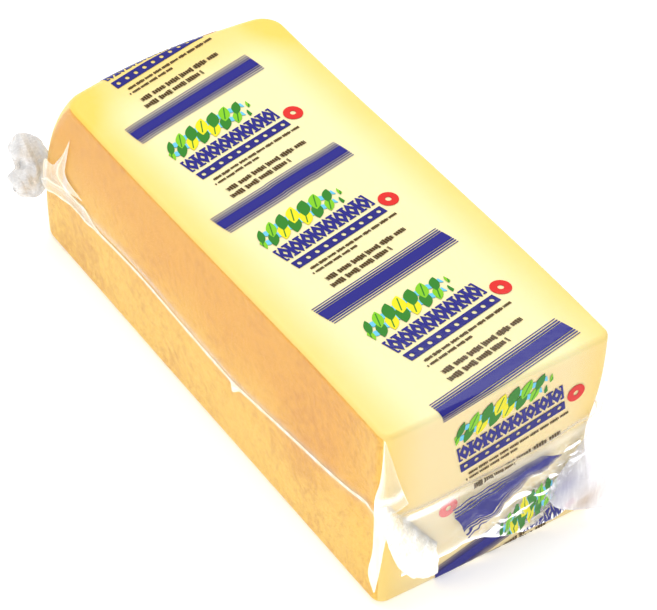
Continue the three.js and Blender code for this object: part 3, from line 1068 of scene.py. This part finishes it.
makeSideSeal("left_side_weld", "left_side_seal", -1)
makeSideSeal("right_side_weld", "right_side_seal", 1)
print("side welds ready")


# The folded tails at the two ends.
frontFlap = {
    "left": -46 * mm,
    "right": 49 * mm,
    "rise": 1.2 * mm,  # of the fold above the weld
    "cutHeights": [16, 17, 16.5, 17, 14.5, 9.5, 7, 8, 9, 12],  # of the wavy cut edge, in mm
    "stand": 1.7 * mm,
    "crumple": 1.5 * mm,
    "foldSize": 15 * mm,
    "gather": 1.65,  # the print is squeezed sideways this much by the gathers
    "spread": 0.75,  # and along the fall
    # Where the printed band runs, in mm: place along the front, its upper and lower line.
    "bandLines": [
        (-46, 32, 8), (-21.7, 40, 15), (-13.6, 42.5, 19), (-3.2, 44.5, 23.5), (4.7, 45.5, 29.6),
        (14.2, 46.5, 35.5), (22.2, 47.8, 38.9), (31.8, 50.4, 44.6), (37.3, 52.5, 48.4), (49, 56, 53),
    ],
    # Where the print begins along the front, at four depths below the band's axis, in mm.
    "printDepths": [-6, 6, 12, 24],
    "printStarts": [-21.7, -13.6, -3, 0],
    "wall": 0.2 * mm,
}


def makeFrontFlap():
    # A sheet from the weld's fold down to its wavy cut edge. It rolls over at the fold,
    # lies close to the front, lifts at the cut edge and is crumpled between them.
    down, across = np.meshgrid(np.linspace(0, 1, 110), np.linspace(0, 1, 260), indexing="ij")
    x = frontFlap["left"] + across * (frontFlap["right"] - frontFlap["left"])
    walk = walkRound()
    onFront = walk["out"][:, 1] < -0.95
    order = np.argsort(walk["place"][onFront, 0])
    seam = np.interp(x, walk["place"][onFront, 0][order], seamHeight(walk)[onFront][order])
    cut = smoothPath(np.array(frontFlap["cutHeights"])[:, None] * mm, across[0])[:, 0]
    cut = cut + 0.7 * mm * waves(np.stack([x[0], x[0] * 0], -1), 8 * mm, 21)
    top = seam + frontFlap["rise"]
    z = top + (cut - top) * down
    roll = np.sin(np.clip(down / 0.12, 0, 1) * math.pi / 2)
    lift = smoothStep(0.8, 1, down) * (0.5 + 0.5 * waves(np.stack([x, z], -1), 20 * mm, 4))
    stand = 0.35 + 0.65 * roll - 0.35 * smoothStep(0.12, 0.5, down) + 0.6 * lift
    stand = np.maximum(frontFlap["stand"] * stand, 0.25 * mm)
    outside = block["front"] + block["frontLean"] * (1 - z / block["height"]) - films["gap"] - 0.4 * mm
    sheet = np.stack([x, outside - stand, z - 1.2 * mm * (1 - roll)], -1)
    sides = smoothStep(0, 0.05, across) * smoothStep(1, 0.95, across)
    printedPart = smoothStep(0.2, 0.3, across)
    amount = frontFlap["crumple"] * (0.3 + 0.7 * smoothStep(0.04, 0.3, down))
    amount = amount * (0.35 + 0.65 * printedPart) * (0.4 + 0.6 * sides)
    sheet, creaseWhiteAndHighlight = crumple(sheet, amount, frontFlap["foldSize"], 31, direction=-1.0)
    sheet[..., 1] = np.minimum(sheet[..., 1], outside - 0.1 * mm)

    # The print: the band lies between two lines that draw together to the right, and what
    # follows it is pushed to the right by the gathers.
    stops, upperLine, lowerLine = np.array(frontFlap["bandLines"]).T * mm
    high = np.interp(x, stops, upperLine)
    low = np.interp(x, stops, lowerLine)
    ragged = folds(sheet, 6 * mm, 47)
    inBand = (high - z) / (high - low)
    edge = printing["bandEdge"]
    below = np.where(inBand < 1, (2 * inBand - 1) * edge, edge + (low - z) * frontFlap["spread"])
    below = np.where(inBand < 0, -edge - (z - high) * frontFlap["spread"], below)
    below = below + 0.7 * mm * ragged * smoothStep(-edge, edge, below)
    depths = np.array(frontFlap["printDepths"]) * mm
    begin = np.interp(below, depths, np.array(frontFlap["printStarts"]) * mm)
    along = -printing["bandHalf"] + frontFlap["gather"] * (x - begin) + 1.2 * mm * ragged
    # Both are turned back to the flat web, at the fifth repeat.
    fall = below + 4 * printing["pitch"]
    run = along + 4 * printing["drift"]
    sine = math.sin(printing["slant"])
    cosine = math.cos(printing["slant"])
    webX = printing["start"][0] + run * cosine + fall * sine
    webY = printing["start"][1] + run * sine - fall * cosine

    # Painted highlights: bright scraps where folds catch the light. A pale fold and a pale cut edge,
    # whitened film with painted highlights along them, and a left part that is smoother and a little cloudy.
    spark = smoothStep(0.25, 0.6, folds(sheet, 5 * mm, 53, flow=(0.35, 1, 1)))
    spark = spark * smoothStep(5 * mm, 9 * mm, below) * smoothStep(24 * mm, 14 * mm, below)
    spark = spark * smoothStep(-8 * mm, -2 * mm, x)
    foldLine = np.exp(-(((down - 0.06) / 0.05) ** 2))
    cutLine = np.exp(-((1 - down) / 0.025))
    leftPart = smoothStep(0.34, 0.1, across) * smoothStep(0, 0.06, across)
    bent = creaseWhiteAndHighlight * 0.45 * (1 - 0.7 * leftPart) + spark + 0.3 * foldLine * leftPart
    cloudy = 0.02 + 0.5 * foldLine * (0.3 + leftPart) + 0.9 * cutLine + 0.08 * leftPart
    values = {
        "creaseWhiteAndHighlight": [np.clip(bent + 0.6 * cutLine, 0, 1)],
        "milk": [np.clip(cloudy, 0, 1)],
    }
    makeSheet("front_folded_tail", [sheet], [np.stack([webX, webY], -1)], values, "folded",
              frontFlap["wall"], "front_end_seal")


makeFrontFlap()

backFlap = {
    "reach": 31 * mm,
    "drop": 23 * mm,
    "stand": 1.0 * mm,
    "crumple": 0.8 * mm,
    "wall": 0.2 * mm,
}


def makeBackFlap():
    # The same at the heel: it follows the heel's own surface, a little outside it.
    walk = walkRound(0.6 * mm)
    chosen = (walk["out"][:, 1] > 0.8) & (np.abs(walk["place"][:, 0]) < backFlap["reach"])
    picked = {key: value[chosen] for key, value in walk.items()}
    fall = np.linspace(0, 1, 70)[:, None] * np.ones(chosen.sum())
    across = np.linspace(0, 1, chosen.sum())
    tall = block["height"] - 2 * block["edgeRounding"]
    wave = waves(np.stack([picked["place"][:, 0], picked["place"][:, 0] * 0], -1), 13 * mm, 61)
    down = seamDown(picked, films["gap"]) + fall * (backFlap["drop"] + 1.5 * mm * wave) / tall
    grid, _ = cling(down, picked, seamHeight(picked), 0.4 * mm)
    roll = np.sin(np.clip(fall / 0.12, 0, 1) * math.pi / 2)
    lift = 0.35 * smoothStep(0.8, 1, fall) * wave
    stand = backFlap["stand"] * (0.3 + 0.7 * roll - 0.4 * smoothStep(0.15, 0.5, fall) + lift)
    grid[..., 0] += stand * picked["out"][:, 0]
    grid[..., 1] += stand * picked["out"][:, 1]
    sides = smoothStep(0, 0.06, across) * smoothStep(1, 0.94, across)
    amount = backFlap["crumple"] * (0.3 + 0.7 * sides) * np.ones(fall.shape)
    lifted, creaseWhiteAndHighlight = crumple(grid, amount, 13 * mm, 71)
    lifted[..., 1] = np.maximum(lifted[..., 1], grid[..., 1] - 0.2 * mm)
    foldLine = np.exp(-(((fall - 0.06) / 0.05) ** 2))
    cutLine = np.exp(-((1 - fall) / 0.03))
    # A pale fold, a pale cut edge and creases: whitened film with painted highlights.
    values = {
        "creaseWhiteAndHighlight": [np.clip(creaseWhiteAndHighlight * 0.8 + 0.4 * foldLine + 0.4 * cutLine, 0, 1)],
        "milk": [np.clip(0.15 + 0.5 * foldLine + 0.5 * cutLine, 0, 1)],
    }
    makeSheet("back_folded_tail", [lifted], None, values, "welded", backFlap["wall"],
              "back_end_seal")


makeBackFlap()
print("folded tails ready")


# The loose ears at the corners. Each is lofted through ribs, given in millimetres, from its
# root outwards, and each rib from its top to its foot. A point of a front ear is given as
# its place across and up the front and how far it stands off; the others as x, y and z.
ears = {
    "wall": 0.14 * mm,
    "front": -125.1,
    "driftLeft": 0.65,  # shares of standing off that carry a point to the left and upwards
    "driftUp": 1.1,
    "floor": 0.4,
    "frontRight": [
        [(46, 50, 0.6), (40, 43, 1.2), (33.5, 35, 1.6), (27.5, 28, 1.4), (24.4, 22.6, 0.8)],
        [(50, 58, 0.9), (47.5, 46, 2.2), (42.5, 33, 3.2), (35, 20, 3.0), (29.4, 12.6, 1.4)],
        [(51.8, 68, 0.9), (54, 52, 3.0), (53, 36, 4.6), (48.5, 18, 4.4), (41.6, 4.2, 2.4)],
        [(52.4, 75, 0.6), (58, 58, 2.4), (62.5, 40, 4.2), (62.5, 18, 5.0), (56.5, -1.5, 3.6)],
        [(52.6, 80, 0.3), (58.4, 66, 1.2), (66.0, 47, 2.4), (73.6, 20, 3.8), (70.0, -2.0, 4.6)],
    ],
    "frontLeftFin": [
        [(-54.7, 97, 0.2), (-55.5, 85, 1.0), (-56.8, 75, 1.6), (-59.0, 67.5, 1.8), (-59.4, 58, 1.6)],
        [(-54.6, 97, 0.3), (-54.4, 85, 2.0), (-54.0, 75, 2.6), (-54.6, 66, 3.0), (-54.6, 56, 2.6)],
        [(-54.4, 96.5, 0.3), (-52.8, 85.5, 1.2), (-51.2, 76, 1.8), (-49.6, 65, 2.2), (-48.8, 54, 2.0)],
        [(-54.2, 96, 0.2), (-51.4, 86, 0.5), (-49.2, 77, 0.7), (-46.4, 66.5, 0.8), (-42.8, 55.5, 1.0)],
    ],
    "frontLeftLeg": [
        [(-59.2, 62, 1.4), (-59.4, 50, 1.6), (-59.9, 38, 1.4), (-61.8, 27, 1.0), (-59.1, 14, 0.5)],
        [(-56.2, 61, 2.6), (-56.4, 47, 2.8), (-57.4, 35, 2.4), (-59.3, 24, 1.6), (-58.8, 14, 0.7)],
        [(-53.2, 60, 1.6), (-53.4, 44.5, 1.8), (-55.2, 32.5, 1.4), (-57.0, 21, 1.0), (-58.5, 14, 0.5)],
    ],
    "frontLeftCrumple": [
        [(-58.8, 63, 1.6), (-58.7, 60, 2.2), (-58.6, 57, 1.8)],
        [(-53.8, 61.6, 1.4), (-53.6, 53, 3.0), (-54.2, 45, 2.0)],
        [(-47.6, 52.5, 1.0), (-49.2, 43, 3.2), (-51.4, 33.5, 1.4)],
        [(-41.2, 44.5, 1.0), (-43.2, 32, 3.4), (-46.2, 19.6, 1.2)],
        [(-35.2, 34.5, 1.0), (-36.0, 21.5, 3.2), (-37.6, 9.4, 1.0)],
        [(-28.4, 25.4, 1.2), (-28.4, 16.5, 2.6), (-28.4, 7.6, 1.0)],
    ],
    "backLeft": [
        [(-48.8, 139.6, 43), (-49.8, 140.2, 39), (-50.4, 140.8, 35.5), (-49.8, 140.4, 31.5),
         (-48.8, 140.0, 27)],
        [(-53.0, 141.4, 51.5), (-52.0, 144.2, 42.5), (-54.4, 141.8, 35.5), (-52.2, 144.8, 27.5),
         (-53.6, 141.6, 19)],
        [(-58.2, 147.4, 53), (-59.8, 144.4, 45), (-57.6, 148.8, 35.5), (-60.4, 144.8, 26),
         (-59.2, 147.8, 16.6)],
        [(-61.8, 147.6, 50.6), (-62.2, 151.4, 44), (-61.6, 147.4, 36), (-62.8, 151.4, 27),
         (-61.4, 148.6, 20.5)],
    ],
    "backRight": [
        [(48.8, 139.8, 45), (49.6, 140.2, 40), (50.2, 140.6, 35), (49.8, 140.6, 29), (48.8, 140.2, 24)],
        [(53.2, 142.2, 48), (52.2, 144.2, 42), (53.8, 142.6, 35), (52.6, 144.6, 28), (53.2, 142.4, 21)],
        [(56.8, 147.2, 47), (57.8, 145.2, 41), (57.2, 148.0, 35), (58.2, 145.8, 28), (56.6, 147.2, 23)],
    ],
}


def offFront(ribs):
    # Turns places on the front and distances off it into points: x less a share of the
    # distance, the front's y less the distance, and z plus a share of it, above the floor.
    x, z, off = np.moveaxis(np.array(ribs), -1, 0)
    up = np.maximum(z + ears["driftUp"] * off, ears["floor"])
    return np.stack([x - ears["driftLeft"] * off, ears["front"] - off, up], -1)


def earLayers(ribs, columns, rows, amount, size, seed, milk, lining=0.0, flow=(1, 1, 1),
              stain=None, fade=None):
    # A crumpled sheet, and where there is a lining a second one a little apart that meets it
    # along the outer edge. milk, stain and fade give the cloudiness, the ink behind and what
    # is left of both, from the shares out from the root and down from the top.
    sheet = loft(ribs, columns, rows)
    out = np.linspace(0, 1, columns)[None, :] * np.ones((rows, columns))
    fall = np.linspace(0, 1, rows)[:, None] * np.ones((rows, columns))
    free = 0.25 + 0.75 * smoothStep(0, 0.2, out)
    left = np.ones(out.shape) if fade is None else fade(out, fall)
    marks = np.zeros(out.shape) if stain is None else stain(out, fall)
    clouds = milk(out, fall) * left
    creased = np.clip(clouds * 2 + 0.4, 0, 1)
    # rim: painted lines of more solid film along the outer edge, the top and the foot; they read as
    # highlights on the pale films and as shaded outlines on the grey ones. Creases are whitened film with
    # painted highlights.
    rim = np.exp(-(1 - out) / 0.015) + 0.6 * np.exp(-fall / 0.02) + 0.6 * np.exp(-(1 - fall) / 0.015)
    made = {"layers": [], "stain": [], "creaseWhiteAndHighlight": [], "milk": []}
    for apart in (0.0, lining)[:2 if lining else 1]:
        gap = apart * (np.sin(math.pi * out) * 0.8 + 0.15) * np.sin(math.pi * np.clip(fall, 0.02, 0.98))
        layer = sheet - gridNormals(sheet) * gap[..., None]
        layerSize = size * 0.8 if apart else size
        layerSeed = seed + 50 if apart else seed
        layer, creaseWhiteAndHighlight = crumple(layer, amount * free, layerSize, layerSeed, flow=flow)
        layer[..., 2] = np.maximum(layer[..., 2], 0.35 * mm)
        made["layers"].append(layer)
        made["stain"].append(marks)
        made["creaseWhiteAndHighlight"].append(np.clip(creaseWhiteAndHighlight * 0.8 * creased + 0.45 * rim, 0, 1) * left)
        made["milk"].append(np.clip(clouds + 0.12 * rim * left, 0, 1.2))
    return made


def makeEar(name, node, look, parts):
    # One piece out of all layers of all parts of an ear.
    values = {key: sum((part[key] for part in parts), []) for key in ("creaseWhiteAndHighlight", "milk", "stain")}
    layers = sum((part["layers"] for part in parts), [])
    makeSheet(name, layers, None, values, look, ears["wall"], node)


def patch(out, fall, middleOut, middleFall, size):
    # A soft round patch: e to the minus squared distance over size squared.
    return np.exp(-((out - middleOut) ** 2 + (fall - middleFall) ** 2) / size**2)


def wideMilk(out, fall):
    lowPart = smoothStep(0.3, 0.7, fall)
    middlePart = smoothStep(0.1, 0.3, out) * smoothStep(0.75, 0.5, out)
    return 0.12 + 0.2 * lowPart + 0.35 * middlePart


def wideStain(out, fall):
    # The blue band behind it near the root, and brown rows behind its foot.
    return 0.4 * patch(out, fall, 0.16, 0.72, 0.13) - 0.5 * patch(out, fall, 0.52, 0.9, 0.1)


def finMilk(out, fall):
    return 0.12 + 0.8 * smoothStep(0.42, 0.1, out) + 0.9 * patch(out * 0, fall, 0, 0.82, 0.04)


def legMilk(out, fall):
    return np.full(out.shape, 0.9)


def crumpleMilk(out, fall):
    return 0.9 * (0.75 + 0.25 * out)


def crumpleFade(out, fall):
    return smoothStep(-0.05, 0.5, fall)


def backLeftMilk(out, fall):
    return 0.15 + 0.6 * patch(out, fall, 0.2, 0.5, 0.3)


def backRightMilk(out, fall):
    return 0.15 + 0.5 * patch(out, fall, 0.2, 0.5, 0.3)


makeEar("front_right_ear_film", "front_right_ear", "wide", [
    earLayers(offFront(ears["frontRight"]), 190, 210, 1.2 * mm, 24 * mm, 5,
              wideMilk, flow=(1, 1, 0.35), stain=wideStain)])
makeEar("front_left_ear_film", "front_left_ear", "loose", [
    earLayers(offFront(ears["frontLeftFin"]), 80, 120, 0.35 * mm, 12 * mm, 9,
              finMilk, flow=(1, 1, 0.3)),
    earLayers(offFront(ears["frontLeftLeg"]), 50, 100, 0.35 * mm, 8 * mm, 22,
              legMilk, flow=(1, 1, 0.3)),
    earLayers(offFront(ears["frontLeftCrumple"]), 120, 100, 1.3 * mm, 9 * mm, 33,
              crumpleMilk, fade=crumpleFade)])
makeEar("back_left_ear_film", "back_left_ear", "tied", [
    earLayers(ears["backLeft"], 110, 140, 1.5 * mm, 11 * mm, 14, backLeftMilk, lining=2.0 * mm)])
makeEar("back_right_ear_film", "back_right_ear", "tied", [
    earLayers(ears["backRight"], 80, 100, 1.3 * mm, 11 * mm, 19, backRightMilk, lining=1.6 * mm)])
print("ears ready")


# Floor, light and camera.
stage = {
    "floor": rgb(247, 247, 248),
    "floorHalf": 6,
    "floorGlow": 0.4,  # a lit table, so that shadows stay pale
    "sky": 0.58,
    "keyPower": 26.0,
    "keySize": 1.5,
    "keyPlace": (0.25, 0.7, 1.9),
    "fillPower": 6.0,
    "fillSize": 1.2,
    "fillPlace": (-1.2, -1.0, 1.0),
    "aim": (0, 0, 0.05),
}


def makeStage():
    # A glowing paper floor, an even white sky and plain colours.
    reach = stage["floorHalf"]
    corners = [(-reach, -reach, 0), (reach, -reach, 0), (reach, reach, 0), (-reach, reach, 0)]
    mesh = bpy.data.meshes.new("studio_floor")
    mesh.from_pydata(corners, [], [(0, 1, 2, 3)])
    floor = bpy.data.objects.new("studio_floor", mesh)
    bpy.context.scene.collection.objects.link(floor)
    material, tree, shader = newMaterial("studioPaper")
    shader.inputs["Base Color"].default_value = stage["floor"]
    shader.inputs["Roughness"].default_value = 0.9
    shader.inputs["Specular IOR Level"].default_value = 0.1
    shader.inputs["Emission Color"].default_value = stage["floor"]
    shader.inputs["Emission Strength"].default_value = stage["floorGlow"]
    mesh.materials.append(material)
    world = bpy.data.worlds.new("studio")
    world.use_nodes = True
    world.node_tree.nodes["Background"].inputs["Color"].default_value = (1, 1, 1, 1)
    world.node_tree.nodes["Background"].inputs["Strength"].default_value = stage["sky"]
    bpy.context.scene.world = world
    bpy.context.scene.view_settings.view_transform = "Standard"


def addLamp(name, place, power, size):
    lamp = bpy.data.lights.new(name, "AREA")
    lamp.energy = power
    lamp.size = size
    thing = bpy.data.objects.new(name, lamp)
    bpy.context.scene.collection.objects.link(thing)
    thing.location = place
    way = Vector(stage["aim"]) - Vector(place)
    thing.rotation_euler = way.to_track_quat("-Z", "Y").to_euler()


camera = {
    "turn": math.radians(-33.37),
    "height": math.radians(44.04),
    "roll": math.radians(0.18),
    "place": (-0.84655, -1.28763, 1.53035),
    "lens": 284.56,
    "sensor": 36,
    "nearest": 0.05,
    "farthest": 30,
}


def makeCamera():
    turn = camera["turn"]
    height = camera["height"]
    level = math.cos(height)
    way = Vector((-math.sin(turn) * level, math.cos(turn) * level, -math.sin(height)))
    seen = bpy.data.cameras.new("camera")
    seen.lens = camera["lens"]
    seen.sensor_width = camera["sensor"]
    seen.clip_start = camera["nearest"]
    seen.clip_end = camera["farthest"]
    thing = bpy.data.objects.new("camera", seen)
    bpy.context.scene.collection.objects.link(thing)
    facing = way.to_track_quat("-Z", "Y").to_matrix().to_4x4()
    tilt = Matrix.Rotation(camera["roll"], 4, "Z")
    thing.matrix_world = Matrix.Translation(Vector(camera["place"])) @ facing @ tilt
    bpy.context.scene.camera = thing


makeStage()
addLamp("key_softbox", stage["keyPlace"], stage["keyPower"], stage["keySize"])
addLamp("fill_softbox", stage["fillPlace"], stage["fillPower"], stage["fillSize"])
makeCamera()
print("stage ready")
